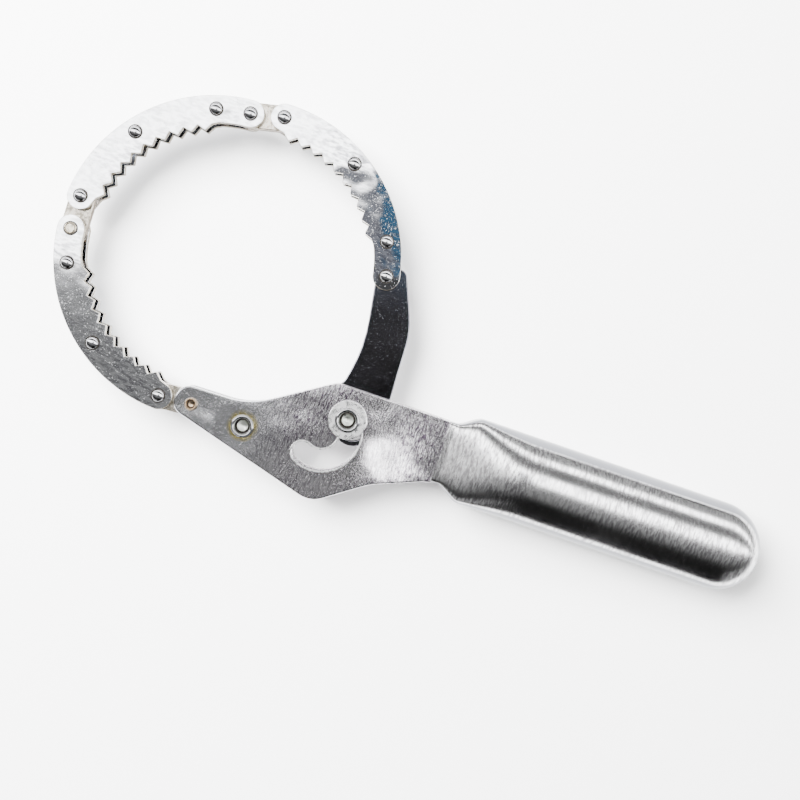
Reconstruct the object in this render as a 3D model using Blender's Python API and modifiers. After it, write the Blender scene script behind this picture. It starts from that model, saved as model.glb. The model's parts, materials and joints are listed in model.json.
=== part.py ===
"""Adjustable oil filter wrench: a stamped handle, three toothed jaws on short links, and a curved arm
whose end rides on a pin in the handle's curved slot.

The wrench lies flat: +X runs along the grip, +Z is its front face. Lengths below are in millimetres.
"""

import math

import bmesh
import bpy
from mathutils import Matrix, Vector

MM = 0.001
COLLECTION = "oil_filter_wrench"
SHARP_ANGLE = 35         # degrees between faces that shade as an edge
LEVEL = 0.9999           # upright share of a level face's normal

# Layers, as distances from the middle plane of the stack.
CORE_HALF = 1.5          # links and arm
PLATE_IN = 1.8           # inner face of every outer plate
PLATE_OUT = 3.6          # outer face of every outer plate
WASHER_IN = 3.8
WASHER_OUT = 4.9
SEAT_GAP = 0.2           # between a rivet's head and what it holds
EDGE_ROUND = 0.3         # rounding of plate edges
MID_HEIGHT = 11.0        # middle plane above the surface the wrench lies on

# The ring: pivots run from the handle through link, jaw, link, jaw, link, jaw to the arm.
ANCHOR = Vector((-64.5, -42.1))
LINK_PITCH = 10.9
LINK_HEADINGS = {"a": -175.6, "b": 92.0, "c": 12.6}
JAW_HEADINGS = {"1": 136.5, "2": 44.6, "3": -38.5}
JAW_RADIUS = 46.5        # radius of the arc that carries a jaw's rivets
JAW_ANGLE = 81.1         # angle between a jaw's end pivots
SPACER_ANGLES = (13.7, 47.4)
JAW_END = 4.4            # radius of a jaw's rounded ends
LINK_END = 4.2
TOOTH_COUNT = 10
TOOTH_START = 15.5
TOOTH_END = 79.5
VALLEY_INSET = 4.8       # from the rivet arc in to a valley
TIP_INSET = 6.6

# Rivets.
SHANK = 1.3
RIVET_HOLE = 1.5
HEAD_RADIUS = 2.05
HEAD_RISE = 0.95
REAR_RISE = 0.67
SLEEVE_RADIUS = 2.5

# The rolled rim of a hollow rivet, and the flat flange at its rear end.
ROLL_RISE = 0.95
ROLL_SHOULDER = (0.3, 0.8)      # in from the recess and up from the seat
ROLL_SKIRT = (0.25, 0.65)       # in from the flange's edge and up from the seat
ROLL_START = 0.4
REAR_FLANGE = (0.5, 0.8)        # heights of the rim and of the flat face
REAR_EDGE = 0.4
CONE_SHARE = 0.3                # depth of the recess's cone as a share of its radius

# The head and its slot.
SLOT_CENTRE = Vector((-22.0, -37.0))
SLOT_RADIUS = 9.1
SLOT_HALF = 3.45
SLOT_START = 44.0
SLOT_TRAVEL = 160.0
PIN_SHANK = 3.0
WASHER_RADIUS = 6.25
PIN_FLANGE = 4.1
PIN_RECESS = (2.55, 3.2)        # radius and depth
TUBE_RIVET = Vector((-46.7, -43.4))
TUBE_SHANK = 3.1
TUBE_FLANGE = 3.75
TUBE_RECESS = (2.6, 2.6)
TUBE_SPACER_RADIUS = 4.8
ANCHOR_FLANGE = 2.15
ANCHOR_RECESS = (1.1, 0.2)
RING_EDGE = 0.2                 # chamfer of washers, sleeves and spacers
HEAD_CORNERS = (
    (16.3, -41.1, 0.4), (13.5, -41.8, 12), (-2, -48.0, 24), (-18.4, -59.6, 9), (-71.0, -45.2, 4.6),
    (-69.4, -36.6, 4.6), (-47, -36.2, 25), (-22.3, -20.4, 8), (16.3, -20.5, 0.4),
)

# The arm, with a long clearance hole for the size pin.
EYE_AXIS = math.radians(-36)
EYE_BACK = 5.0
EYE_FRONT = 2.5
EYE_HOLE = 4.85
ARM_CORNERS = (
    (-22.6, 20.4, 4.3), (-18.0, -7, 50), (-20.6, -19.6, 4), (-29.0, -28.6, 6.4), (-11.9, -41.1, 6.4),
    (-4.2, -31.5, 6.4), (-5.3, 2.5, 30), (-12.9, 20.6, 3),
)

# Neck and grip.
GRIP_AXIS_Y = -30.7
NECK_START = 13.0
NECK_HALF = 10.1
NECK_DEPTH = 3.1         # where the grip starts, just under the head plate's outer face
BULGE_START = 18.0
BULGE_END = 46.0
SHOULDER = (18.0, 26.5)
GRIP_HALF = 14.2
GRIP_DEPTH = 11.0
GRIP_END_X = 109.8       # where the round end starts
FLAT_POWER = 0.2         # squareness of the section at the neck, against 1 for a round one
ROUND_POWER = 0.95
BULGE_EASE = 0.6         # how early the bulge rises and rounds
END_EASE = 0.9
END_REACH = 86           # degrees of the round end's sweep before its blunt tip
SEAM = 0.15              # each half stops this far from the middle plane
WALL = 1.5
HOLLOW_START = 27.0
GRIP_SIDES = 16
BULGE_STEPS = 9
END_STEPS = 7

STEEL = (0.78, 0.78, 0.80)
FINISHES = {
    "satin_steel": (STEEL, 0.32),
    "jaw_steel": ((0.84, 0.84, 0.85), 0.25),
    "dark_arm": ((0.08, 0.08, 0.09), 0.18),
    "link_steel": ((0.72, 0.69, 0.62), 0.3),
    "rivet_chrome": ((0.88, 0.88, 0.9), 0.12),
    "bronze_rivet": ((0.55, 0.38, 0.2), 0.35),
}


def clear_scene():
    for obj in list(bpy.data.objects):
        bpy.data.objects.remove(obj, do_unlink=True)


def new_collection(name):
    made = bpy.data.collections.new(name)
    bpy.context.scene.collection.children.link(made)
    return made


def finish(name):
    colour, roughness = FINISHES[name]
    material = bpy.data.materials.get(name) or bpy.data.materials.new(name)
    material.use_nodes = True
    shader = material.node_tree.nodes["Principled BSDF"]
    shader.inputs["Base Color"].default_value = (*colour, 1)
    shader.inputs["Roughness"].default_value = roughness
    shader.inputs["Metallic"].default_value = 1
    return material


def heading(degrees):
    """A unit vector in plan."""
    return Vector((math.cos(math.radians(degrees)), math.sin(math.radians(degrees))))


def arc(centre, radius, start, end, steps):
    return [centre + radius * heading(start + (end - start) * i / steps) for i in range(steps + 1)]


def circle(centre, radius, sides=16):
    return arc(centre, radius, 0, 360, sides)[:-1]


def capsule(a, b, radius, steps=7):
    """A round-ended slot outline from a to b."""
    along = math.degrees(math.atan2(b.y - a.y, b.x - a.x))
    return arc(b, radius, along - 90, along + 90, steps) + arc(a, radius, along + 90, along + 270, steps)


def rounded(corners, step=18):
    """The polygon's outline with an arc of each corner's own radius."""
    points = []
    for i, (x, y, radius) in enumerate(corners):
        corner = Vector((x, y))
        before = (Vector(corners[i - 1][:2]) - corner).normalized()
        after = (Vector(corners[(i + 1) % len(corners)][:2]) - corner).normalized()
        half = before.angle(after) / 2
        centre = corner + (before + after).normalized() * radius / math.sin(half)
        first = corner + before * radius / math.tan(half) - centre
        last = corner + after * radius / math.tan(half) - centre
        start = math.degrees(math.atan2(first.y, first.x))
        turn = math.degrees(first.angle_signed(last)) * -1
        steps = max(2, round(abs(turn) / step))
        points += arc(centre, radius, start, start + turn, steps)
    return points


def plate(outlines, low, high, edge=EDGE_ROUND, edge_steps=0):
    """A mesh of a flat plate from its outline and its holes, with rounded edges."""
    data = bpy.data.curves.new("outline", "CURVE")
    data.dimensions = "2D"
    data.fill_mode = "BOTH"
    data.extrude = ((high - low) / 2 - edge) * MM
    data.bevel_depth = edge * MM
    data.bevel_resolution = edge_steps
    data.offset = -edge * MM
    for outline in outlines:
        spline = data.splines.new("POLY")
        spline.points.add(len(outline) - 1)
        spline.use_cyclic_u = True
        for point, place in zip(spline.points, outline):
            point.co = (place.x * MM, place.y * MM, 0, 1)
    guide = bpy.data.objects.new("outline", data)
    bpy.context.scene.collection.objects.link(guide)
    graph = bpy.context.evaluated_depsgraph_get()
    mesh = bpy.data.meshes.new_from_object(guide.evaluated_get(graph))
    bpy.data.objects.remove(guide, do_unlink=True)
    bpy.data.curves.remove(data)
    shape = bmesh.new()
    shape.from_mesh(mesh)
    bmesh.ops.remove_doubles(shape, verts=shape.verts, dist=0.002 * MM)
    bmesh.ops.translate(shape, verts=shape.verts, vec=(0, 0, (low + high) / 2 * MM))
    bmesh.ops.recalc_face_normals(shape, faces=shape.faces)
    shape.to_mesh(mesh)
    shape.free()
    return smooth(mesh)


def smooth(mesh):
    """Smooth shading on rounded faces, while level faces stay flat."""
    mesh.shade_smooth()
    mesh.set_sharp_from_angle(angle=math.radians(SHARP_ANGLE))
    for polygon in mesh.polygons:
        polygon.use_smooth = abs(polygon.normal.z) < LEVEL
    return mesh


def mirrored(mesh):
    """The same mesh on the rear side of the middle plane."""
    copy = mesh.copy()
    copy.transform(Matrix.Diagonal((1, 1, -1, 1)))
    copy.flip_normals()
    return copy


def add(name, mesh, place, material, parent=None, turn=0.0):
    """An object at a plan position, with its height at the middle plane."""
    obj = bpy.data.objects.new(name, mesh)
    obj.location = (place.x * MM, place.y * MM, MID_HEIGHT * MM)
    obj.rotation_euler.z = math.radians(turn)
    if material:
        mesh.materials.clear()
        mesh.materials.append(finish(material))
    if parent:
        obj.parent = parent
        obj.matrix_parent_inverse = Matrix.Translation(-parent.location)
    parts.objects.link(obj)
    return obj


def axis_empty(name, place):
    empty = bpy.data.objects.new(name, None)
    empty.location = (place.x * MM, place.y * MM, MID_HEIGHT * MM)
    parts.objects.link(empty)
    return empty


def turned(name, profile, closed, place, material, parent=None, sides=12):
    """A turned piece from a profile of (radius, height) points that runs down its outer side."""
    mesh = bpy.data.meshes.new(name)
    count = len(profile)
    edges = [(i, (i + 1) % count) for i in range(count if closed else count - 1)]
    mesh.from_pydata([(r * MM, 0, z * MM) for r, z in profile], edges, [])
    obj = add(name, mesh, place, material, parent)
    screw = obj.modifiers.new("turn", "SCREW")
    screw.steps = sides
    screw.render_steps = sides
    screw.use_merge_vertices = True
    screw.merge_threshold = 0.00001
    return obj


def ring(name, inner, outer, low, high, place, material, parent=None, sides=20):
    """A washer or a sleeve with its outer edges chamfered."""
    profile = [
        (inner, high), (outer - RING_EDGE, high), (outer, high - RING_EDGE),
        (outer, low + RING_EDGE), (outer - RING_EDGE, low), (inner, low),
    ]
    return turned(name, profile, True, place, material, parent, sides)


def dome(radius, base, rise, steps=3):
    """Profile points of a domed head, from its crown on the axis out to its rim."""
    turns = [math.pi / 2 * i / steps for i in range(steps + 1)]
    return [(radius * math.sin(turn), base + rise * math.cos(turn)) for turn in turns]


def solid_rivet(name, place, material, parent):
    seat = PLATE_OUT + SEAT_GAP
    front = dome(HEAD_RADIUS, seat, HEAD_RISE)
    rear = [(r, -z) for r, z in reversed(dome(HEAD_RADIUS, seat, REAR_RISE, 2))]
    return turned(name, front + [(SHANK, seat), (SHANK, -seat)] + rear, False, place, material, parent)


def hollow_rivet(name, shank, flange, seat, recess_size, place, material, parent=None):
    """A rivet whose front is rolled out into a ring round a recess with a conical bottom."""
    recess, depth = recess_size
    rim_height, face_height = REAR_FLANGE
    profile = [
        (0, seat - depth - recess * CONE_SHARE), (recess, seat - depth), (recess, seat + ROLL_START),
        (recess + ROLL_SHOULDER[0], seat + ROLL_SHOULDER[1]), ((flange + recess) / 2, seat + ROLL_RISE),
        (flange - ROLL_SKIRT[0], seat + ROLL_SKIRT[1]), (flange, seat), (shank, seat), (shank, -seat),
        (flange, -seat), (flange, -seat - rim_height), (flange - REAR_EDGE, -seat - face_height),
        (0, -seat - face_height),
    ]
    return turned(name, profile, False, place, material, parent, sides=24)


def blend(low, high, value):
    share = min(1, max(0, (value - low) / (high - low)))
    return share * share * (3 - 2 * share)


def grip_section(x, inset):
    """Half width, height and squareness of the half grip's section at x."""
    half = NECK_HALF + (GRIP_HALF - NECK_HALF) * blend(*SHOULDER, x)
    bulge = blend(BULGE_START, BULGE_END, x) ** BULGE_EASE
    rise = NECK_DEPTH + (GRIP_DEPTH - NECK_DEPTH) * bulge
    power = FLAT_POWER + (ROUND_POWER - FLAT_POWER) * bulge
    past = min(1, max(0, (x - GRIP_END_X) / (GRIP_HALF - inset)))
    fall = math.sqrt(max(0, 1 - past * past))
    return (half - inset) * fall, SEAM + (rise - inset - SEAM) * fall ** END_EASE, power


def half_grip(stations, inset, base):
    """A closed half grip, lofted through sections from the neck's flat strip to the round end.

    A base under the seam extends the sections down past the middle plane.
    """
    shape = bmesh.new()
    rings = []
    for x in stations:
        half, rise, power = grip_section(x, inset)
        ring_points = []
        for i in range(GRIP_SIDES + 1):
            turn = math.pi * i / GRIP_SIDES
            across = math.copysign(abs(math.cos(turn)) ** power, math.cos(turn))
            up = math.sin(turn) ** power if 0 < i < GRIP_SIDES else 0
            height = SEAM + (rise - SEAM) * up
            ring_points.append((x * MM, half * across * MM, height * MM))
        if base < SEAM:
            ring_points.append((x * MM, -half * MM, base * MM))
            ring_points.append((x * MM, half * MM, base * MM))
        rings.append([shape.verts.new(point) for point in ring_points])
    for first, second in zip(rings, rings[1:]):
        for i in range(len(first)):
            j = (i + 1) % len(first)
            shape.faces.new((first[i], first[j], second[j], second[i]))
    shape.faces.new(rings[0])
    shape.faces.new(reversed(rings[-1]))
    bmesh.ops.recalc_face_normals(shape, faces=shape.faces)
    mesh = bpy.data.meshes.new("half_grip")
    shape.to_mesh(mesh)
    shape.free()
    return smooth(mesh)


def grip_stations(start, inset):
    """Places along the grip for its sections: through the bulge, then round the end."""
    bulge = [start + (BULGE_END - start) * i / BULGE_STEPS for i in range(BULGE_STEPS + 1)]
    reach = GRIP_HALF - inset
    turns = [math.radians(END_REACH) * i / END_STEPS for i in range(END_STEPS + 1)]
    return bulge + [GRIP_END_X + reach * math.sin(turn) for turn in turns]


def handle_shell(name, side):
    """The head plate joined to one half of the grip."""
    slot_end = SLOT_START - SLOT_TRAVEL
    kidney = (
        arc(SLOT_CENTRE, SLOT_RADIUS + SLOT_HALF, SLOT_START, slot_end, 16)
        + arc(SLOT_CENTRE + SLOT_RADIUS * heading(slot_end), SLOT_HALF, slot_end, slot_end - 180, 9)[1:-1]
        + arc(SLOT_CENTRE, SLOT_RADIUS - SLOT_HALF, slot_end, SLOT_START, 12)
        + arc(SLOT_CENTRE + SLOT_RADIUS * heading(SLOT_START), SLOT_HALF,
              SLOT_START + 180, SLOT_START, 9)[1:-1]
    )
    outlines = [
        rounded(HEAD_CORNERS, 10), kidney,
        circle(ANCHOR, RIVET_HOLE), circle(TUBE_RIVET, TUBE_SHANK + SEAT_GAP, 20),
    ]
    head = plate(outlines, PLATE_IN, PLATE_OUT, EDGE_ROUND, 1)
    outer = half_grip(grip_stations(NECK_START, 0), 0, SEAM)
    inner = half_grip(grip_stations(HOLLOW_START, WALL), WALL, -1)
    if side < 0:
        head, outer, inner = mirrored(head), mirrored(outer), mirrored(inner)
    shell = add(name, head, Vector((0, 0)), "satin_steel")
    grip = helper(name + "_grip", outer)
    hollow = helper(name + "_hollow", inner)
    cut = grip.modifiers.new("hollow", "BOOLEAN")
    cut.operation = "DIFFERENCE"
    cut.object = hollow
    join = shell.modifiers.new("grip", "BOOLEAN")
    join.operation = "UNION"
    join.object = grip


def helper(name, mesh):
    """A hidden shape that a Boolean reads."""
    obj = bpy.data.objects.new(name, mesh)
    obj.location = (0, GRIP_AXIS_Y * MM, MID_HEIGHT * MM)
    obj.hide_render = True
    obj.display_type = "WIRE"
    cutters.objects.link(obj)
    return obj


def head_pieces():
    handle_shell("front_handle_shell", 1)
    handle_shell("rear_handle_shell", -1)
    seat = PLATE_OUT + SEAT_GAP
    hollow_rivet("head_rivet", TUBE_SHANK, TUBE_FLANGE, seat, TUBE_RECESS, TUBE_RIVET, "rivet_chrome")
    ring("head_spacer", TUBE_SHANK + SEAT_GAP, TUBE_SPACER_RADIUS, SEAT_GAP - PLATE_IN, PLATE_IN - SEAT_GAP,
         TUBE_RIVET, "link_steel")
    hollow_rivet("band_anchor_rivet", SHANK, ANCHOR_FLANGE, seat, ANCHOR_RECESS, ANCHOR, "bronze_rivet")


def size_pin_pieces():
    """The pin and its washers, on an axis at the centre of the slot's arc."""
    place = SLOT_CENTRE + SLOT_RADIUS * heading(SLOT_START)
    axis = axis_empty("size_pin_axis", SLOT_CENTRE)
    seat = WASHER_OUT + SEAT_GAP
    hollow_rivet("size_pin", PIN_SHANK, PIN_FLANGE, seat, PIN_RECESS, place, "rivet_chrome", axis)
    for name, side in (("front_pin_washer", 1), ("rear_pin_washer", -1)):
        low, high = sorted((side * WASHER_IN, side * WASHER_OUT))
        ring(name, PIN_SHANK + SEAT_GAP, WASHER_RADIUS, low, high, place, "rivet_chrome", axis, sides=32)
    return place


def link(letter, start):
    """One short link from its first pivot, and the pivot at its other end."""
    along = Vector((LINK_PITCH, 0))
    here = Vector((0, 0))
    outlines = [capsule(here, along, LINK_END), circle(here, RIVET_HOLE), circle(along, RIVET_HOLE)]
    mesh = plate(outlines, -CORE_HALF, CORE_HALF)
    turn = LINK_HEADINGS[letter]
    axis = axis_empty(f"link_{letter}_axis", start)
    add(f"link_{letter}", mesh, start, "link_steel", axis, turn)
    return start + LINK_PITCH * heading(turn)


def jaw_outline():
    """A jaw plate round its arc's centre: pivot to pivot, with teeth on its inner edge."""
    centre = Vector((0, 0))
    near, far = JAW_RADIUS * heading(0), JAW_RADIUS * heading(JAW_ANGLE)
    points = arc(near, JAW_END, -180, 0, 8)
    points += arc(centre, JAW_RADIUS + JAW_END, 0, JAW_ANGLE, 13)[1:-1]
    points += arc(far, JAW_END, JAW_ANGLE, JAW_ANGLE + 150, 7)
    pitch = (TOOTH_END - TOOTH_START) / TOOTH_COUNT
    for i in range(TOOTH_COUNT):
        valley = TOOTH_END - i * pitch
        points.append((JAW_RADIUS - VALLEY_INSET) * heading(valley))
        points.append((JAW_RADIUS - TIP_INSET) * heading(valley - pitch / 2))
    points.append((JAW_RADIUS - VALLEY_INSET) * heading(TOOTH_START))
    return points + arc(centre, JAW_RADIUS - JAW_END, TOOTH_START - 3, 3, 3)


def jaw(number, start):
    """One jaw from the pivot on its incoming link, and the pivot at its other end."""
    chord = 2 * JAW_RADIUS * math.sin(math.radians(JAW_ANGLE / 2))
    end = start + chord * heading(JAW_HEADINGS[number])
    turn = JAW_HEADINGS[number] + 90 - JAW_ANGLE / 2
    centre = end - JAW_RADIUS * heading(turn)
    axis = axis_empty(f"jaw_{number}_axis", start)
    angles = {"near_pivot": 0, "near_spacer": SPACER_ANGLES[0], "far_spacer": SPACER_ANGLES[1],
              "far_pivot": JAW_ANGLE}
    holes = [circle(JAW_RADIUS * heading(angle), RIVET_HOLE, 8) for angle in angles.values()]
    front = plate([jaw_outline()] + holes, PLATE_IN, PLATE_OUT)
    add(f"jaw_{number}_front_plate", front, centre, "jaw_steel", axis, turn)
    add(f"jaw_{number}_rear_plate", mirrored(front), centre, "jaw_steel", axis, turn)
    for which, angle in angles.items():
        place = centre + JAW_RADIUS * heading(turn + angle)
        solid_rivet(f"jaw_{number}_{which}_rivet", place, "rivet_chrome", axis)
        if which.endswith("spacer"):
            reach = PLATE_IN - SEAT_GAP
            ring(f"jaw_{number}_{which}_sleeve", RIVET_HOLE, SLEEVE_RADIUS, -reach, reach, place,
                 "link_steel", axis, sides=10)
    return end


def arm(pivot, pin):
    """The curved arm from the last jaw to the size pin, whose hole is longer than the pin is wide."""
    along = Vector((math.cos(EYE_AXIS), math.sin(EYE_AXIS)))
    outlines = [
        rounded(ARM_CORNERS, 12), circle(pivot, RIVET_HOLE),
        capsule(pin - EYE_BACK * along, pin + EYE_FRONT * along, EYE_HOLE, 8),
    ]
    local = [[point - pivot for point in outline] for outline in outlines]
    mesh = plate(local, -CORE_HALF, CORE_HALF, EDGE_ROUND, 1)
    add("arm", mesh, pivot, "dark_arm", axis_empty("arm_axis", pivot))


def build():
    head_pieces()
    pin = size_pin_pieces()
    pivot = ANCHOR
    for letter, number in zip(LINK_HEADINGS, JAW_HEADINGS):
        pivot = jaw(number, link(letter, pivot))
    arm(pivot, pin)


clear_scene()
parts = new_collection(COLLECTION)
cutters = new_collection("cutters")
build()
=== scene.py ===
"""The looks of the oil filter wrench: fine meshes, plated-steel materials, a pale floor and studio light.

Lengths are in metres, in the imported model's frame. Each fine piece stands where its CAD node is.
"""

import json
import math

import bmesh
import bpy
from mathutils import Matrix, Vector


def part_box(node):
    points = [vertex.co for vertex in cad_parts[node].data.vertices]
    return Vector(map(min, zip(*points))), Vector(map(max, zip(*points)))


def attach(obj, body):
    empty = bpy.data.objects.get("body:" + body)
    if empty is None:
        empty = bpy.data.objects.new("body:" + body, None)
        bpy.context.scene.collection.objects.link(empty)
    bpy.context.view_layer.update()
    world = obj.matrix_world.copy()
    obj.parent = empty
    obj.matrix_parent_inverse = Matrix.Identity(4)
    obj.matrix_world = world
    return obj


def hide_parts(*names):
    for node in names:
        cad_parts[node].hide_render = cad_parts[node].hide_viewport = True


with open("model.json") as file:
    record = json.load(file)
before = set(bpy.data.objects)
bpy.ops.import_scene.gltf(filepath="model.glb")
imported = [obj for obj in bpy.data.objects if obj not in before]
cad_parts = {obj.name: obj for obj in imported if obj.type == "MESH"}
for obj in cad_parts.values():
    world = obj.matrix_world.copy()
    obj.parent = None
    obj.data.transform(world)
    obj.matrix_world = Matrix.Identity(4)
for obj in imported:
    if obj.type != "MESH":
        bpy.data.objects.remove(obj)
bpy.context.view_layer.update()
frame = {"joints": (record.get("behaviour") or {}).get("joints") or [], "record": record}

MM = 0.001
JOINTS = {joint["name"]: Vector(joint["pos_m"]) for joint in frame["joints"]}
NODE_BODY = {node: body for body, nodes in frame["record"]["behaviour"]["bodies"].items() for node in nodes}


def middle(node):
    low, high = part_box(node)
    return (low + high) / 2


# The middle plane's height, and heights measured from it, all read from the CAD pieces.
MID = middle("link_a").z
CORE_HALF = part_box("link_a")[1].z - MID
PLATE_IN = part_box("jaw_1_front_plate")[0].z - MID
PLATE_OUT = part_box("jaw_1_front_plate")[1].z - MID
WASHER_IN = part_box("front_pin_washer")[0].z - MID
WASHER_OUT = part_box("front_pin_washer")[1].z - MID
# Rivet heads are seated a little proud of the plates.
SEAT = PLATE_OUT + 0.2 * MM

# Places in plan.
ANCHOR = middle("band_anchor_rivet").to_2d()
TUBE_RIVET = middle("head_rivet").to_2d()
PIN = middle("size_pin").to_2d()
SLOT_CENTRE = JOINTS["size_pin_travel"].to_2d()
SLOT_RADIUS = (PIN - SLOT_CENTRE).length
SLOT_HALF = 3.45 * MM
SLOT_TRAVEL = 160
# Corners of the head and the arm in millimetres, each with its rounding radius.
HEAD_CORNERS = (
    (16.3, -41.1, 0.4), (13.5, -41.8, 12), (-2, -48.0, 24), (-18.4, -59.6, 9), (-71.0, -45.2, 4.6),
    (-69.4, -36.6, 4.6), (-47, -36.2, 25), (-22.3, -20.4, 8), (16.3, -20.5, 0.4),
)
ARM_CORNERS = (
    (-22.6, 20.4, 4.3), (-18.0, -7, 50), (-20.6, -19.6, 4), (-29.0, -28.6, 6.4), (-11.9, -41.1, 6.4),
    (-4.2, -31.5, 6.4), (-5.3, 2.5, 30), (-12.9, 20.6, 3),
)
# The arm's eye is a long hole, which reaches further past the pin one way than the other.
EYE_DIRECTION = -36
EYE_REACH = (-5.0 * MM, 2.5 * MM)
EYE_HALF = 4.85 * MM
# The hollow rivet's hole and spacer, and the gap at the end of every spacer.
TUBE_HOLE = 3.3 * MM
SPACER_RADIUS = 4.75 * MM
END_GAP = 0.2 * MM

# The jaws. Angles are in degrees, and insets run inward from the line of the rivets.
JAW_ANGLE = 81.1
JAW_ENDS = {
    "1": (JOINTS["jaw_1_pivot"].to_2d(), JOINTS["link_b_pivot"].to_2d()),
    "2": (JOINTS["jaw_2_pivot"].to_2d(), JOINTS["link_c_pivot"].to_2d()),
    "3": (JOINTS["jaw_3_pivot"].to_2d(), JOINTS["arm_pivot"].to_2d()),
}
JAW_RADIUS = 46.5 * MM
JAW_END = 4.4 * MM
SPACER_ANGLES = (13.7, 47.4)
TOOTH_COUNT = 10
TOOTH_SPAN = (79.5, 15.5)
VALLEY_INSET = 4.8 * MM
TIP_INSET = 6.6 * MM
CREST_SHARE = 0.03
ROOT_ANGLE = 3
JAW_EDGE = 0.15 * MM
SLEEVE_RADII = (1.5 * MM, 2.45 * MM)
LINK_ENDS = {
    "a": (ANCHOR, JAW_ENDS["1"][0]), "b": (JAW_ENDS["1"][1], JAW_ENDS["2"][0]),
    "c": (JAW_ENDS["2"][1], JAW_ENDS["3"][0]),
}
LINK_END = 4.2 * MM
RIVET_HOLE = 1.5 * MM

# Rivets.
RIVET_RADIUS = 2.0 * MM
RIVET_SHANK = 1.3 * MM
RIVET_RISE = 0.92 * MM
REAR_RISE = 0.6 * MM
# Rings of painted shade round each rivet head: their width, heights and edge.
SHADE_RING_WIDTH = 0.32 * MM
SHADE_RING_HEIGHTS = (SEAT + 0.01 * MM, SEAT + 0.08 * MM)
SHADE_RING_EDGE = 0.02 * MM
ROLL_LIFT = 0.15 * MM
ROLL_RISE = 0.77 * MM
TUBE_BACK = 0.78 * MM

# Neck and grip.
GRIP_AXIS_Y = -30.7 * MM
NECK_HALF = 10.1 * MM
GRIP_HALF = 14.2 * MM
GRIP_DEPTH = 11.0 * MM
GRIP_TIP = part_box("front_handle_shell")[1].x
NECK_START = 13.0 * MM
NECK_DEPTH = 3.1 * MM
FLAT_POWER = 0.2
ROUND_POWER = 0.95
BULGE_EASE = 0.6
END_EASE = 0.9
BULGE = (18.0 * MM, 46.0 * MM)
SHOULDER = (18.0 * MM, 26.5 * MM)
SEAM = 0.15 * MM
GRIP_SIDES = 64
HEAD_EDGE = 0.5 * MM
LIP_OUTSET = 0.25 * MM
LIP_DROP = 0.2 * MM
LIP_RADIUS = 0.38 * MM


# ---------------------------------------------------------------- outlines

def heading(degrees):
    return Vector((math.cos(math.radians(degrees)), math.sin(math.radians(degrees))))


def degrees_of(vector):
    return math.degrees(math.atan2(vector.y, vector.x))


def arc(centre, radius, start, end, steps):
    return [centre + radius * heading(start + (end - start) * i / steps) for i in range(steps + 1)]


def circle(centre, radius, sides=40):
    return arc(centre, radius, 0, 360, sides)[:-1]


def capsule(a, b, radius, steps=20):
    along = degrees_of(b - a)
    return arc(b, radius, along - 90, along + 90, steps) + arc(a, radius, along + 90, along + 270, steps)


def rounded(corners, step=5):
    """The outline of a polygon, given in millimetres, with an arc of each corner's own radius."""
    points = []
    for i, (x, y, radius) in enumerate(corners):
        corner = Vector((x, y))
        before = (Vector(corners[i - 1][:2]) - corner).normalized()
        after = (Vector(corners[(i + 1) % len(corners)][:2]) - corner).normalized()
        half = before.angle(after) / 2
        centre = corner + (before + after).normalized() * radius / math.sin(half)
        first = corner + before * radius / math.tan(half) - centre
        last = corner + after * radius / math.tan(half) - centre
        start = degrees_of(first)
        turn = math.degrees(first.angle_signed(last)) * -1
        steps = max(2, round(abs(turn) / step))
        points += [point * MM for point in arc(centre, radius, start, start + turn, steps)]
    return points


def kidney(half):
    """The slot's outline: an arc as wide as twice half, with round ends."""
    start = degrees_of(PIN - SLOT_CENTRE)
    end = start - SLOT_TRAVEL
    near, far = SLOT_CENTRE + SLOT_RADIUS * heading(start), SLOT_CENTRE + SLOT_RADIUS * heading(end)
    return (
        arc(SLOT_CENTRE, SLOT_RADIUS + half, start, end, 40)
        + arc(far, half, end, end - 180, 20)[1:-1]
        + arc(SLOT_CENTRE, SLOT_RADIUS - half, end, start, 32)
        + arc(near, half, start + 180, start, 20)[1:-1]
    )


def jaw_outline(centre, turn):
    """A jaw plate round its arc's centre, with teeth on its inner edge."""
    near = centre + JAW_RADIUS * heading(turn)
    far = centre + JAW_RADIUS * heading(turn + JAW_ANGLE)
    points = arc(near, JAW_END, turn - 180, turn, 20)
    points += arc(centre, JAW_RADIUS + JAW_END, turn, turn + JAW_ANGLE, 60)[1:-1]
    points += arc(far, JAW_END, turn + JAW_ANGLE, turn + JAW_ANGLE + 150, 16)
    first, last = TOOTH_SPAN
    pitch = (first - last) / TOOTH_COUNT
    crest = CREST_SHARE * pitch
    for i in range(TOOTH_COUNT):
        valley = turn + first - i * pitch
        tip = valley - pitch / 2
        for angle, inset in ((valley, VALLEY_INSET), (tip + crest, TIP_INSET), (tip - crest, TIP_INSET)):
            points.append(centre + (JAW_RADIUS - inset) * heading(angle))
    points.append(centre + (JAW_RADIUS - VALLEY_INSET) * heading(turn + last))
    return points + arc(centre, JAW_RADIUS - JAW_END, turn + last - ROOT_ANGLE, turn + ROOT_ANGLE, 8)


# ---------------------------------------------------------------- meshes

# The upright share of the normal from which a face counts as level.
LEVEL = 0.9999


def smooth(mesh, sharp=40, keep_level=True):
    """Smooth shading below a sharp angle in degrees, while level faces stay flat."""
    mesh.shade_smooth()
    mesh.set_sharp_from_angle(angle=math.radians(sharp))
    if keep_level:
        for polygon in mesh.polygons:
            polygon.use_smooth = abs(polygon.normal.z) < LEVEL
    return mesh


def show(name, mesh, material, body, nodes=()):
    """Puts a finished piece in the scene, on its body and in place of its CAD nodes."""
    obj = bpy.data.objects.new(name, mesh)
    bpy.context.scene.collection.objects.link(obj)
    mesh.materials.clear()
    mesh.materials.append(material)
    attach(obj, body)
    if nodes:
        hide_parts(*nodes)
    return obj


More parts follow.
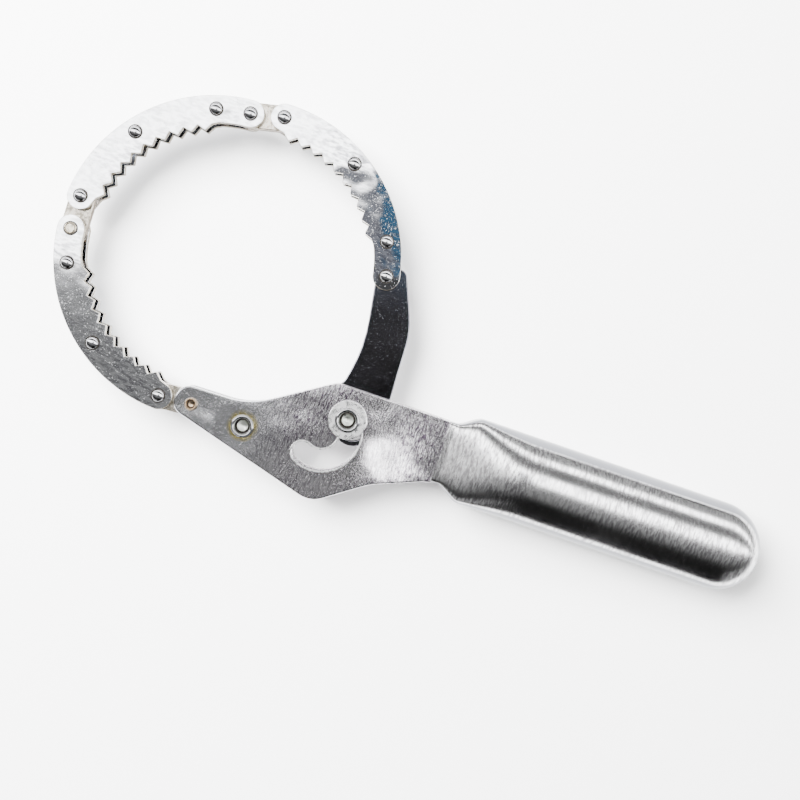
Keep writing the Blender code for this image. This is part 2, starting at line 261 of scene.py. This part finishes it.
def mesh_of_curve(data, height):
    """The welded mesh of a curve, lifted to a height above the floor."""
    guide = bpy.data.objects.new("guide", data)
    bpy.context.scene.collection.objects.link(guide)
    graph = bpy.context.evaluated_depsgraph_get()
    mesh = bpy.data.meshes.new_from_object(guide.evaluated_get(graph))
    bpy.data.objects.remove(guide, do_unlink=True)
    shape = bmesh.new()
    shape.from_mesh(mesh)
    bmesh.ops.remove_doubles(shape, verts=shape.verts, dist=1e-6)
    bmesh.ops.translate(shape, verts=shape.verts, vec=(0, 0, height))
    bmesh.ops.recalc_face_normals(shape, faces=shape.faces)
    shape.to_mesh(mesh)
    shape.free()
    return smooth(mesh)


def outline_curve(outlines):
    data = bpy.data.curves.new("outline", "CURVE")
    data.dimensions = "2D"
    for outline in outlines:
        spline = data.splines.new("POLY")
        spline.points.add(len(outline) - 1)
        spline.use_cyclic_u = True
        for point, place in zip(spline.points, outline):
            point.co = (place.x, place.y, 0, 1)
    return data


def plate(outlines, low, high, edge=0.35 * MM):
    """A flat plate between two heights from the middle plane, with rounded edges."""
    data = outline_curve(outlines)
    data.fill_mode = "BOTH"
    data.extrude = (high - low) / 2 - edge
    data.bevel_depth = edge
    data.bevel_resolution = 3
    data.offset = -edge
    return mesh_of_curve(data, MID + (low + high) / 2)


def rim(outline, height, thickness):
    """A rolled lip along an outline."""
    data = outline_curve([outline])
    data.dimensions = "3D"
    data.bevel_depth = thickness
    data.bevel_resolution = 3
    return mesh_of_curve(data, height)


def lathe(profile, centre, sides=56):
    """A turned mesh from (radius, height from the middle plane) points, top to bottom."""
    mesh = bpy.data.meshes.new("turned")
    shape = bmesh.new()
    rings = []
    for radius, height in profile:
        spots = [0] if radius < 1e-7 else range(sides)
        rings.append([
            shape.verts.new((centre.x + radius * math.cos(2 * math.pi * i / sides),
                             centre.y + radius * math.sin(2 * math.pi * i / sides), MID + height))
            for i in spots
        ])
    for upper, lower in zip(rings, rings[1:]):
        for i in range(sides):
            j = (i + 1) % sides
            corners = [upper[i % len(upper)], upper[j % len(upper)]]
            corners += [lower[j % len(lower)], lower[i % len(lower)]]
            shape.faces.new(dict.fromkeys(corners))
    bmesh.ops.recalc_face_normals(shape, faces=shape.faces)
    shape.to_mesh(mesh)
    shape.free()
    return smooth(mesh, 30)


def ring_mesh(inner, outer, low, high, centre, edge=0.25 * MM):
    """A closed washer or sleeve with rounded outer edges."""
    bend = [(edge * math.sin(math.pi / 8 * i), edge * math.cos(math.pi / 8 * i)) for i in range(5)]
    profile = [(inner, high)]
    profile += [(outer - edge + out, high - edge + up) for out, up in bend]
    profile += [(outer - edge + out, low + edge - up) for out, up in reversed(bend)]
    return lathe(profile + [(inner, low), (inner, high)], centre, 72)


# ---------------------------------------------------------------- materials

def node_material(name, colour, roughness):
    """A metal material with its node tree and its shader."""
    material = bpy.data.materials.new(name)
    material.use_nodes = True
    tree = material.node_tree
    shader = tree.nodes["Principled BSDF"]
    shader.inputs["Metallic"].default_value = 1
    shader.inputs["Base Color"].default_value = (*colour, 1)
    shader.inputs["Roughness"].default_value = roughness
    return material, tree, shader


def stretched_noise(tree, scale, stretch, detail=6.0, rough=0.6):
    """Noise in the piece's own coordinates, drawn out by a different factor along each axis."""
    place = tree.nodes.new("ShaderNodeTexCoord")
    mapping = tree.nodes.new("ShaderNodeMapping")
    mapping.inputs["Scale"].default_value = stretch
    noise = tree.nodes.new("ShaderNodeTexNoise")
    noise.inputs["Scale"].default_value = scale
    noise.inputs["Detail"].default_value = detail
    noise.inputs["Roughness"].default_value = rough
    tree.links.new(place.outputs["Object"], mapping.inputs["Vector"])
    tree.links.new(mapping.outputs["Vector"], noise.inputs["Vector"])
    return noise.outputs["Fac"]


def remap(tree, value, low, high, out_low, out_high):
    node = tree.nodes.new("ShaderNodeMapRange")
    for key, number in (("From Min", low), ("From Max", high), ("To Min", out_low), ("To Max", out_high)):
        node.inputs[key].default_value = number
    tree.links.new(value, node.inputs["Value"])
    return node.outputs["Result"]


def math_node(tree, operation, a, b):
    """A sum or product of sockets or numbers, kept between 0 and 1."""
    node = tree.nodes.new("ShaderNodeMath")
    node.operation = operation
    node.use_clamp = True
    for socket, value in zip(node.inputs, (a, b)):
        if isinstance(value, (int, float)):
            socket.default_value = value
        else:
            tree.links.new(value, socket)
    return node.outputs[0]


def mix(tree, share, first, second):
    node = tree.nodes.new("ShaderNodeMix")
    node.data_type = "RGBA"
    tree.links.new(share, node.inputs["Factor"])
    for socket, value in ((node.inputs[6], first), (node.inputs[7], second)):
        if isinstance(value, tuple):
            socket.default_value = (*value, 1)
        else:
            tree.links.new(value, socket)
    return node.outputs[2]


def bump(tree, shader, height, strength, distance, swell=None, swell_distance=0.0):
    """Relief from one pattern, over the slow swell of another."""
    node = tree.nodes.new("ShaderNodeBump")
    node.inputs["Strength"].default_value = strength
    node.inputs["Distance"].default_value = distance
    tree.links.new(height, node.inputs["Height"])
    if swell:
        under = tree.nodes.new("ShaderNodeBump")
        under.inputs["Distance"].default_value = swell_distance
        tree.links.new(swell, under.inputs["Height"])
        tree.links.new(under.outputs["Normal"], node.inputs["Normal"])
    tree.links.new(node.outputs["Normal"], shader.inputs["Normal"])


def dot(tree, vector, axis):
    node = tree.nodes.new("ShaderNodeVectorMath")
    node.operation = "DOT_PRODUCT"
    node.inputs[1].default_value = axis
    tree.links.new(vector, node.inputs[0])
    return node.outputs["Value"]


def side_share(tree, steep, level):
    """1 on steep faces and 0 on level ones, by the upright share of the normal."""
    place = tree.nodes.new("ShaderNodeTexCoord")
    split = tree.nodes.new("ShaderNodeSeparateXYZ")
    tree.links.new(place.outputs["Normal"], split.inputs["Vector"])
    upright = tree.nodes.new("ShaderNodeMath")
    upright.operation = "ABSOLUTE"
    tree.links.new(split.outputs["Z"], upright.inputs[0])
    return remap(tree, upright.outputs[0], steep, level, 1, 0)


EVEN = (1, 1, 1)
SPECK_SCALE = 2300
SPECK_TONE = (0.95, 0.95, 0.95)
STREAK_RELIEF = 0.03 * MM


def plated(name, bright, dark, edge, roughness, streaks, patch_scale, relief, warp, side=(0.15, 0.5),
           speck_share=0.2, cut=0.35):
    """Plated steel: streaks, a slight warp, pale duller specks, and a separate tone on steep faces,
    partly the duller colour of cut sides and partly painted shade on rounded edges and round sides.

    Streaks are a scale, a stretch, a detail and a roughness of noise. Side is the upright share of the
    normal below which a face is all side, and above which it is none. Cut is how metallic the sides are.
    """
    material, tree, shader = node_material(name, bright, roughness)
    fine = stretched_noise(tree, *streaks)
    cloud = stretched_noise(tree, patch_scale, EVEN, 2.0, 0.5)
    # Pale specks, also rougher, strewn at random.
    speck = remap(tree, stretched_noise(tree, SPECK_SCALE, EVEN, 2.0, 0.5), 0.62, 0.72, 0, 1)
    streaky = remap(tree, fine, 0.42, 0.60, 0, 1)
    patchy = remap(tree, cloud, 0.38, 0.60, 0.4, 1)
    tone = mix(tree, math_node(tree, "MULTIPLY", streaky, patchy), bright, dark)
    tone = mix(tree, math_node(tree, "MULTIPLY", speck, speck_share), tone, SPECK_TONE)
    # Steep faces take their own tone: partly the cut sides' duller colour, partly painted shade.
    steep = side_share(tree, *side)
    tone = mix(tree, steep, tone, edge)
    tree.links.new(remap(tree, steep, 0, 1, 1, cut), shader.inputs["Metallic"])
    tree.links.new(tone, shader.inputs["Base Color"])
    rough = math_node(tree, "ADD", remap(tree, cloud, 0.3, 0.7, roughness * 0.7, roughness * 1.3),
                      remap(tree, fine, 0.4, 0.7, 0, 0.06))
    rough = math_node(tree, "ADD", rough, math_node(tree, "MULTIPLY", speck, speck_share))
    tree.links.new(rough, shader.inputs["Roughness"])
    bump(tree, shader, fine, relief, STREAK_RELIEF, cloud, warp)
    return material, tree, shader, tone


def chrome(name, colour, roughness, dirt=(0.35, 0.33, 0.3)):
    """Small plated parts: one colour with a little dirt and uneven polish."""
    material, tree, shader = node_material(name, colour, roughness)
    cloud = stretched_noise(tree, 900, EVEN, 4.0, 0.6)
    tone = mix(tree, remap(tree, cloud, 0.55, 0.8, 0, 0.5), colour, dirt)
    tree.links.new(tone, shader.inputs["Base Color"])
    polish = remap(tree, cloud, 0.3, 0.7, roughness * 0.6, roughness * 1.8)
    tree.links.new(polish, shader.inputs["Roughness"])
    bump(tree, shader, cloud, 0.06, 0.02 * MM)
    return material


def distance_from(tree, vector, centre):
    node = tree.nodes.new("ShaderNodeVectorMath")
    node.operation = "DISTANCE"
    node.inputs[1].default_value = centre
    tree.links.new(vector, node.inputs[0])
    return node.outputs["Value"]


def lean_normal(tree, shader, share, lean):
    """Leans the surface's normal by a vector in the piece's own axes, as far as a share says."""
    scaled = tree.nodes.new("ShaderNodeVectorMath")
    scaled.operation = "SCALE"
    scaled.inputs[0].default_value = lean
    tree.links.new(share, scaled.inputs["Scale"])
    turned = tree.nodes.new("ShaderNodeVectorTransform")
    turned.vector_type = "VECTOR"
    turned.convert_from = "OBJECT"
    turned.convert_to = "WORLD"
    tree.links.new(scaled.outputs["Vector"], turned.inputs["Vector"])
    total = tree.nodes.new("ShaderNodeVectorMath")
    total.operation = "ADD"
    tree.links.new(shader.inputs["Normal"].links[0].from_socket, total.inputs[0])
    tree.links.new(turned.outputs["Vector"], total.inputs[1])
    unit = tree.nodes.new("ShaderNodeVectorMath")
    unit.operation = "NORMALIZE"
    tree.links.new(total.outputs["Vector"], unit.inputs[0])
    tree.links.new(unit.outputs["Vector"], shader.inputs["Normal"])


GREY_END_FADE = 16 * MM
GREY_END_TONE = (0.66, 0.67, 0.69)
STAIN_REACH = (4.1 * MM, 5.4 * MM)
STAIN_TONE = (0.72, 0.62, 0.24)
DENT = Vector((1.0, -38.5)) * MM
DENT_REACH = (6 * MM, 13 * MM)
DENT_LEAN = (0.11, 0.06, 0)


def head_plating():
    """The head plate: streaks, a greyer, less streaky end, a yellow stain round the hollow rivet and a
    shallow dent.
    """
    material, tree, shader, tone = plated(
        "head_plating", (0.90, 0.88, 0.91), (0.10, 0.07, 0.11), (0.50, 0.48, 0.47), roughness=0.12,
        streaks=(2000, (1.0, 0.24, 1.0), 4.0, 0.7), patch_scale=42, relief=1.5, warp=1.1 * MM)
    place = tree.nodes.new("ShaderNodeTexCoord").outputs["Object"]
    along = dot(tree, place, (1, 0, 0))
    # The head is tinted an even grey from the hollow rivet outwards, fading out towards the grip.
    grey_end = remap(tree, along, TUBE_RIVET.x, TUBE_RIVET.x + GREY_END_FADE, 0.8, 0)
    tone = mix(tree, grey_end, tone, GREY_END_TONE)
    from_rivet = distance_from(tree, place, (TUBE_RIVET.x, TUBE_RIVET.y, MID + PLATE_OUT))
    stain = remap(tree, from_rivet, *STAIN_REACH, 0.95, 0)
    ragged = remap(tree, stretched_noise(tree, 500, EVEN), 0.4, 0.6, 0.5, 1)
    tone = mix(tree, math_node(tree, "MULTIPLY", stain, ragged), tone, STAIN_TONE)
    tree.links.new(tone, shader.inputs["Base Color"])
    from_dent = distance_from(tree, place, (DENT.x, DENT.y, MID + PLATE_OUT))
    lean_normal(tree, shader, remap(tree, from_dent, *DENT_REACH, 1, 0), DENT_LEAN)
    return material


def jaw_plating(number, roughness, warp):
    # The dark tone covers the cut sides and the whole rounded edge: partly the cut steel's own colour,
    # partly painted shade as a dark outline.
    return plated(
        "jaw_" + number + "_plating", (0.80, 0.81, 0.83), (0.30, 0.30, 0.32), (0.33, 0.29, 0.22), roughness,
        streaks=(900, (0.4, 1.0, 1.0), 5.0, 0.6), patch_scale=52, relief=0.10, warp=warp,
        side=(0.65, 0.9))[0]


HEAD = head_plating()
# The near-black tone on the grip's steep sides is painted shade, dimming the floor's reflection along them.
GRIP = plated(
    "grip_plating", (0.82, 0.82, 0.83), (0.30, 0.29, 0.30), (0.16, 0.165, 0.18), roughness=0.16,
    streaks=(1500, (1.0, 0.25, 0.25), 4.0, 0.6), patch_scale=40, relief=1.0, warp=0.15 * MM,
    side=(0.62, 0.72), speck_share=0.03, cut=1)[0]
JAW = {
    "1": jaw_plating("1", 0.05, 0.22 * MM), "2": jaw_plating("2", 0.09, 1.2 * MM),
    "3": jaw_plating("3", 0.03, 0.4 * MM),
}
LINK = plated(
    "link_plating", (0.52, 0.48, 0.42), (0.22, 0.20, 0.16), (0.16, 0.12, 0.08), roughness=0.22,
    streaks=(900, EVEN, 6.0, 0.6), patch_scale=120, relief=0.3, warp=0.05 * MM)[0]
# The arm's near-black colour is a painted dark reflection on plated steel.
ARM = plated(
    "arm_plating", (0.26, 0.26, 0.28), (0.12, 0.12, 0.14), (0.55, 0.52, 0.5), roughness=0.08,
    streaks=(1500, (1.0, 0.5, 1.0), 7.0, 0.7), patch_scale=60, relief=0.20, warp=0.05 * MM, speck_share=0.10)[0]
RIVET = chrome("rivet_plating", (0.58, 0.58, 0.60), 0.10)
WASHER = chrome("washer_plating", (0.95, 0.95, 0.95), 0.25, (0.85, 0.85, 0.85))
BRONZE = chrome("bronze_plating", (0.44, 0.34, 0.24), 0.24, (0.20, 0.15, 0.10))
TAN = chrome("tan_plating", (0.60, 0.55, 0.46), 0.26, (0.25, 0.22, 0.18))
# Near-black painted shade, for the wells of hollow rivets and the rings round rivet heads.
PAINTED_SHADE = chrome("painted_shade_black", (0.05, 0.045, 0.04), 0.3, (0.02, 0.02, 0.02))
PIN_RIM = chrome("pin_rim_plating", (0.42, 0.42, 0.43), 0.12)
PIN_FLOOR = chrome("pin_plating", (0.80, 0.84, 0.76), 0.36, (0.45, 0.48, 0.42))


# ---------------------------------------------------------------- pieces

def blend(low, high, value):
    """A smooth step from 0 at low to 1 at high."""
    share = min(1, max(0, (value - low) / (high - low)))
    return share * share * (3 - 2 * share)


def grip_section(x):
    """Half width, height and squareness of the half grip at x."""
    half = NECK_HALF + (GRIP_HALF - NECK_HALF) * blend(*SHOULDER, x)
    bulge = blend(*BULGE, x) ** BULGE_EASE
    rise = NECK_DEPTH + (GRIP_DEPTH - NECK_DEPTH) * bulge
    power = FLAT_POWER + (ROUND_POWER - FLAT_POWER) * bulge
    past = min(1, max(0, (x - GRIP_TIP + GRIP_HALF) / GRIP_HALF))
    fall = math.sqrt(max(0, 1 - past * past))
    return half * fall, SEAM + (rise - SEAM) * fall ** END_EASE, power


def half_grip(side):
    """One half of the grip: rings of points from the neck to the round end, closed at the seam."""
    shape = bmesh.new()
    cap_start = GRIP_TIP - GRIP_HALF
    stations = [NECK_START + (BULGE[1] - NECK_START) * i / 60 for i in range(61)]
    stations += [BULGE[1] + (cap_start - BULGE[1]) * i / 20 for i in range(1, 20)]
    stations += [cap_start + GRIP_HALF * math.sin(math.radians(89 * i / 40)) for i in range(41)]
    rings = []
    for x in stations:
        half, rise, power = grip_section(x)
        points = []
        for i in range(GRIP_SIDES + 1):
            turn = math.pi * i / GRIP_SIDES
            across = math.copysign(abs(math.cos(turn)) ** power, math.cos(turn))
            up = math.sin(turn) ** power if 0 < i < GRIP_SIDES else 0
            height = MID + side * (SEAM + (rise - SEAM) * up)
            points.append(shape.verts.new((x, GRIP_AXIS_Y + half * across, height)))
        rings.append(points)
    for first, second in zip(rings, rings[1:]):
        for i in range(len(first)):
            j = (i + 1) % len(first)
            shape.faces.new((first[i], first[j], second[j], second[i]))
    shape.faces.new(rings[0])
    shape.faces.new(reversed(rings[-1]))
    bmesh.ops.recalc_face_normals(shape, faces=shape.faces)
    mesh = bpy.data.meshes.new("half_grip")
    shape.to_mesh(mesh)
    shape.free()
    return smooth(mesh, 50, False)


def both_sides(low, high, side):
    """A pair of heights in front of the middle plane, or mirrored behind it."""
    return (low, high) if side > 0 else (-high, -low)


def make_handle():
    outlines = [rounded(HEAD_CORNERS), kidney(SLOT_HALF), circle(ANCHOR, RIVET_HOLE),
                circle(TUBE_RIVET, TUBE_HOLE)]
    for word, side in (("front", 1), ("rear", -1)):
        node = word + "_handle_shell"
        head = plate(outlines, *both_sides(PLATE_IN, PLATE_OUT, side), HEAD_EDGE)
        show(word + "_head_plate", head, HEAD, "handle", [node])
        show(word + "_half_grip", half_grip(side), GRIP, "handle", [node])
        lip = rim(kidney(SLOT_HALF + LIP_OUTSET), MID + side * (PLATE_OUT - LIP_DROP), LIP_RADIUS)
        show(word + "_slot_lip", lip, WASHER, "handle")


def dome(radius, base, rise, steps=10):
    """The profile of a rounded rivet head, from its top to its edge."""
    turns = [math.pi / 2 * i / steps for i in range(steps + 1)]
    return [(radius * math.sin(turn), base + rise * math.cos(turn)) for turn in turns]


def solid_rivet(node, flat=False):
    """A rivet with a domed head, or with a flat head that is peened into a ring, and rings of painted shade
    round it.
    """
    centre = middle(node).to_2d()
    rear = [(radius, -height) for radius, height in reversed(dome(RIVET_RADIUS, SEAT, REAR_RISE))]
    if flat:
        front = [(0, SEAT + 0.35 * MM), (1.35 * MM, SEAT + 0.35 * MM), (1.55 * MM, SEAT + 0.12 * MM),
                 (1.7 * MM, SEAT + 0.3 * MM), (2.0 * MM, SEAT + 0.22 * MM), (2.05 * MM, SEAT)]
    else:
        front = dome(RIVET_RADIUS, SEAT, RIVET_RISE)
    mesh = lathe(front + [(RIVET_SHANK, SEAT), (RIVET_SHANK, -SEAT)] + rear, centre)
    material = TAN if flat else RIVET
    show("fine_" + node, mesh, material, NODE_BODY[node], [node])
    for word, side in (("front", 1), ("rear", -1)):
        heights = both_sides(*SHADE_RING_HEIGHTS, side)
        # A thin near-black ring of painted shade where the head meets the plate.
        shade_ring = ring_mesh(RIVET_RADIUS, RIVET_RADIUS + SHADE_RING_WIDTH, *heights, centre, SHADE_RING_EDGE)
        show(f"{node}_{word}_line", shade_ring, PAINTED_SHADE, NODE_BODY[node])


def hollow_rivet(node, shank, flange, seat, recess, depth, material, floor_material):
    """A tubular rivet: a bright rolled ring round a well painted near-black as shade, with a shallow cone at
    its bottom.
    """
    body = NODE_BODY[node]
    centre = middle(node).to_2d()
    start = seat + ROLL_LIFT
    roll = (flange - recess) / 2
    profile = [(recess, seat - 2 * ROLL_LIFT)]
    for i in range(17):
        turn = math.pi * i / 16
        profile.append((recess + roll * (1 - math.cos(turn)), start + ROLL_RISE * math.sin(turn)))
    profile += [(flange, seat), (shank, seat), (shank, -seat), (flange, -seat), (flange, -seat - 0.5 * MM),
                (flange - 0.35 * MM, -seat - TUBE_BACK), (0, -seat - TUBE_BACK)]
    show("fine_" + node, lathe(profile, centre, 72), material, body, [node])
    inner = recess * 0.76
    wall = [(recess, seat - 2 * ROLL_LIFT), (recess * 0.98, seat - depth), (inner, seat - depth)]
    # The well's wall and outer floor are painted shade.
    show(node + "_well", lathe(wall, centre, 72), PAINTED_SHADE, body)
    cone = [(0, seat - depth * 0.8), (inner * 0.45, seat - depth * 0.6), (inner * 0.9, seat - depth * 0.45),
            (inner, seat - depth * 0.55), (inner, seat - depth)]
    show(node + "_cone", lathe(cone, centre, 72), floor_material, body)


def make_pins():
    """The size pin with its two washers, and the two tubular rivets of the head."""
    washer_radius = (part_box("front_pin_washer")[1].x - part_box("front_pin_washer")[0].x) / 2
    for word, side in (("front", 1), ("rear", -1)):
        node = word + "_pin_washer"
        mesh = ring_mesh(3.2 * MM, washer_radius, *both_sides(WASHER_IN, WASHER_OUT, side), PIN)
        show("fine_" + node, mesh, WASHER, "pin_slider", [node])
    hollow_rivet("size_pin", shank=3.0 * MM, flange=4.05 * MM, seat=WASHER_OUT + END_GAP, recess=2.6 * MM,
                 depth=1.6 * MM, material=PIN_RIM, floor_material=PIN_FLOOR)
    hollow_rivet("head_rivet", shank=3.1 * MM, flange=3.72 * MM, seat=SEAT, recess=2.45 * MM,
                 depth=1.6 * MM, material=PIN_RIM, floor_material=PIN_FLOOR)
    hollow_rivet("band_anchor_rivet", shank=1.3 * MM, flange=2.12 * MM, seat=SEAT, recess=1.25 * MM,
                 depth=0.5 * MM, material=BRONZE, floor_material=BRONZE)


def make_jaws():
    """Each jaw's two toothed plates, four rivets and two sleeves, with one flat rivet in the first jaw."""
    ends = ("jaw_1_near_pivot_rivet", "jaw_1_far_pivot_rivet")
    flat_rivet = max(ends, key=lambda node: middle(node).y)
    for number, (far, near) in JAW_ENDS.items():
        turn = degrees_of(near - far) + 90 - JAW_ANGLE / 2
        centre = near - JAW_RADIUS * heading(turn)
        angles = (0, *SPACER_ANGLES, JAW_ANGLE)
        holes = [circle(centre + JAW_RADIUS * heading(turn + angle), RIVET_HOLE) for angle in angles]
        for word, side in (("front", 1), ("rear", -1)):
            node = f"jaw_{number}_{word}_plate"
            heights = both_sides(PLATE_IN, PLATE_OUT, side)
            mesh = plate([jaw_outline(centre, turn)] + holes, *heights, JAW_EDGE)
            show("fine_" + node, mesh, JAW[number], "jaw_" + number, [node])
        for which in ("near_pivot", "near_spacer", "far_spacer", "far_pivot"):
            node = f"jaw_{number}_{which}_rivet"
            solid_rivet(node, node == flat_rivet)
        for which in ("near_spacer", "far_spacer"):
            node = f"jaw_{number}_{which}_sleeve"
            reach = PLATE_IN - END_GAP
            mesh = ring_mesh(*SLEEVE_RADII, -reach, reach, middle(node).to_2d(), JAW_EDGE)
            show("fine_" + node, mesh, LINK, "jaw_" + number, [node])


def make_links_and_arm():
    for letter, (start, end) in LINK_ENDS.items():
        outlines = [capsule(start, end, LINK_END), circle(start, RIVET_HOLE), circle(end, RIVET_HOLE)]
        node = "link_" + letter
        show("fine_" + node, plate(outlines, -CORE_HALF, CORE_HALF), LINK, node, [node])
    eye = capsule(*(PIN + reach * heading(EYE_DIRECTION) for reach in EYE_REACH), EYE_HALF)
    outlines = [rounded(ARM_CORNERS), circle(JAW_ENDS["3"][1], RIVET_HOLE), eye]
    show("fine_arm", plate(outlines, -CORE_HALF, CORE_HALF), ARM, "arm", ["arm"])
    reach = PLATE_IN - END_GAP
    mesh = ring_mesh(TUBE_HOLE, SPACER_RADIUS, -reach, reach, TUBE_RIVET)
    show("fine_head_spacer", mesh, LINK, "handle", ["head_spacer"])


# ---------------------------------------------------------------- stage

# The camera looks straight down, and its frame is turned against the grip's axis.
VIEW_TURN = math.radians(18.9)
VIEW_FOOT = SLOT_CENTRE + Vector((0.0111, 0.0349))
VIEW_HEIGHT = 0.31
VIEW_WIDTH = 0.256
VIEW_SHIFT = (0.0125, -0.075)
SENSOR_WIDTH = 36
FLOOR_HALF = 3
SOFT_BOX_PLACE = (-0.55, 0.28, 0.65)
SOFT_BOX_SIZE = (0.6, 0.6)
SOFT_BOX_POWER = 85.0
# Brightness of the studio round an arch over the grip's axis: 0 is one horizon, 0.5 overhead, 1 the other.
ARCH_LEVELS = (
    (0.00, 0.06), (0.10, 0.06), (0.19, 0.04), (0.25, 0.003), (0.32, 0.006), (0.39, 0.03), (0.44, 0.035),
    (0.475, 0.04), (0.487, 0.07), (0.494, 1.0), (0.578, 1.0), (0.602, 0.018), (0.732, 0.018), (0.752, 1.0),
    (0.80, 1.0), (0.825, 0.08), (0.945, 0.05), (0.965, 0.002), (1.0, 0.002),
)
# The upright share of a direction at the edge and at the dark middle of a disc straight overhead.
OVERHEAD_DARK = (0.986, 0.9955)
OVERHEAD_LEVEL = 0.01
# Cards: a colour, then for each edge a direction and how far along it the card is absent and is whole.
ALONG_GRIP = (1.0, 0.0, 0.0)
ACROSS_GRIP = (0.0, 1.0, 0.0)
ALONG_FRAME = (0.946, 0.324, 0.0)
UP_FRAME = (-0.324, 0.946, 0.0)
SLANT = (1.0, 0.636, 0.0)
BLACK_CARD = ((0.001, 0.001, 0.001), (
    (ALONG_GRIP, -0.04, 0.02), (ALONG_GRIP, 0.64, 0.54), (ACROSS_GRIP, -0.40, -0.60)))
GREY_CARD = ((0.035, 0.036, 0.041), (
    (UP_FRAME, 0.170, 0.140), (UP_FRAME, 0.040, 0.055),
    (ALONG_FRAME, -0.12, -0.09), (ALONG_FRAME, 0.07, 0.05)))
BLUE_CARD = ((0.008, 0.021, 0.036), (
    (SLANT, 0.023, 0.031), (SLANT, 0.12, 0.10), (ACROSS_GRIP, 0.052, 0.060), (ACROSS_GRIP, 0.18, 0.155)))
STUDIO_STRENGTH = 8.0


def make_camera():
    data = bpy.data.cameras.new("camera")
    data.sensor_width = SENSOR_WIDTH
    data.lens = SENSOR_WIDTH * VIEW_HEIGHT / VIEW_WIDTH
    data.shift_x, data.shift_y = VIEW_SHIFT
    data.clip_start = 0.01
    camera = bpy.data.objects.new("camera", data)
    camera.location = (VIEW_FOOT.x, VIEW_FOOT.y, MID + PLATE_OUT + VIEW_HEIGHT)
    camera.rotation_euler.z = VIEW_TURN
    bpy.context.scene.collection.objects.link(camera)
    bpy.context.scene.camera = camera


def make_floor():
    mesh = bpy.data.meshes.new("floor")
    shape = bmesh.new()
    bmesh.ops.create_grid(shape, x_segments=1, y_segments=1, size=FLOOR_HALF)
    shape.to_mesh(mesh)
    shape.free()
    floor = bpy.data.objects.new("floor", mesh)
    bpy.context.scene.collection.objects.link(floor)
    material, _, shader = node_material("floor_paper", (0.93, 0.93, 0.93), 0.8)
    shader.inputs["Metallic"].default_value = 0
    mesh.materials.append(material)


def area_light(name, place, size, power, aim=(0, 0, 0)):
    """A soft light that isn't seen in reflections."""
    data = bpy.data.lights.new(name, "AREA")
    data.shape = "RECTANGLE"
    data.size, data.size_y = size
    data.energy = power
    light = bpy.data.objects.new(name, data)
    light.location = place
    light.rotation_euler = (Vector(aim) - Vector(place)).to_track_quat("-Z", "Y").to_euler()
    light.visible_glossy = False
    bpy.context.scene.collection.objects.link(light)


def card_share(tree, direction, edges):
    """1 where a direction meets a card and 0 off it, with soft edges."""
    share = 1.0
    for axis, outer, inner in edges:
        inside = remap(tree, dot(tree, direction, axis), outer, inner, 0, 1)
        share = math_node(tree, "MULTIPLY", share, inside)
    return share


def make_light():
    """A soft box, and a studio sky in bands with a dark disc overhead and three cards."""
    area_light("soft_box", SOFT_BOX_PLACE, SOFT_BOX_SIZE, SOFT_BOX_POWER)
    world = bpy.data.worlds.new("studio")
    bpy.context.scene.world = world
    world.use_nodes = True
    tree = world.node_tree
    background = tree.nodes["Background"]
    direction = tree.nodes.new("ShaderNodeTexCoord").outputs["Generated"]
    upward = dot(tree, direction, (0, 0, 1))
    angle = tree.nodes.new("ShaderNodeMath")
    angle.operation = "ARCTAN2"
    tree.links.new(dot(tree, direction, ACROSS_GRIP), angle.inputs[0])
    tree.links.new(upward, angle.inputs[1])
    share = remap(tree, angle.outputs[0], -math.pi / 2, math.pi / 2, 0, 1)
    ramp = tree.nodes.new("ShaderNodeValToRGB")
    levels = ramp.color_ramp.elements
    for element, (position, level) in zip(levels, (ARCH_LEVELS[0], ARCH_LEVELS[-1])):
        element.position = position
        element.color = (level, level, level, 1)
    for position, level in ARCH_LEVELS[1:-1]:
        levels.new(position).color = (level, level, level, 1)
    tree.links.new(share, ramp.inputs["Fac"])
    overhead = remap(tree, upward, *OVERHEAD_DARK, 1, OVERHEAD_LEVEL)
    colour = mix(tree, overhead, (0, 0, 0), ramp.outputs["Color"])
    for tint, edges in (BLACK_CARD, GREY_CARD, BLUE_CARD):
        colour = mix(tree, card_share(tree, direction, edges), colour, tint)
    tree.links.new(colour, background.inputs["Color"])
    background.inputs["Strength"].default_value = STUDIO_STRENGTH


make_camera()
make_handle()
make_pins()
make_jaws()
make_links_and_arm()
make_floor()
make_light()
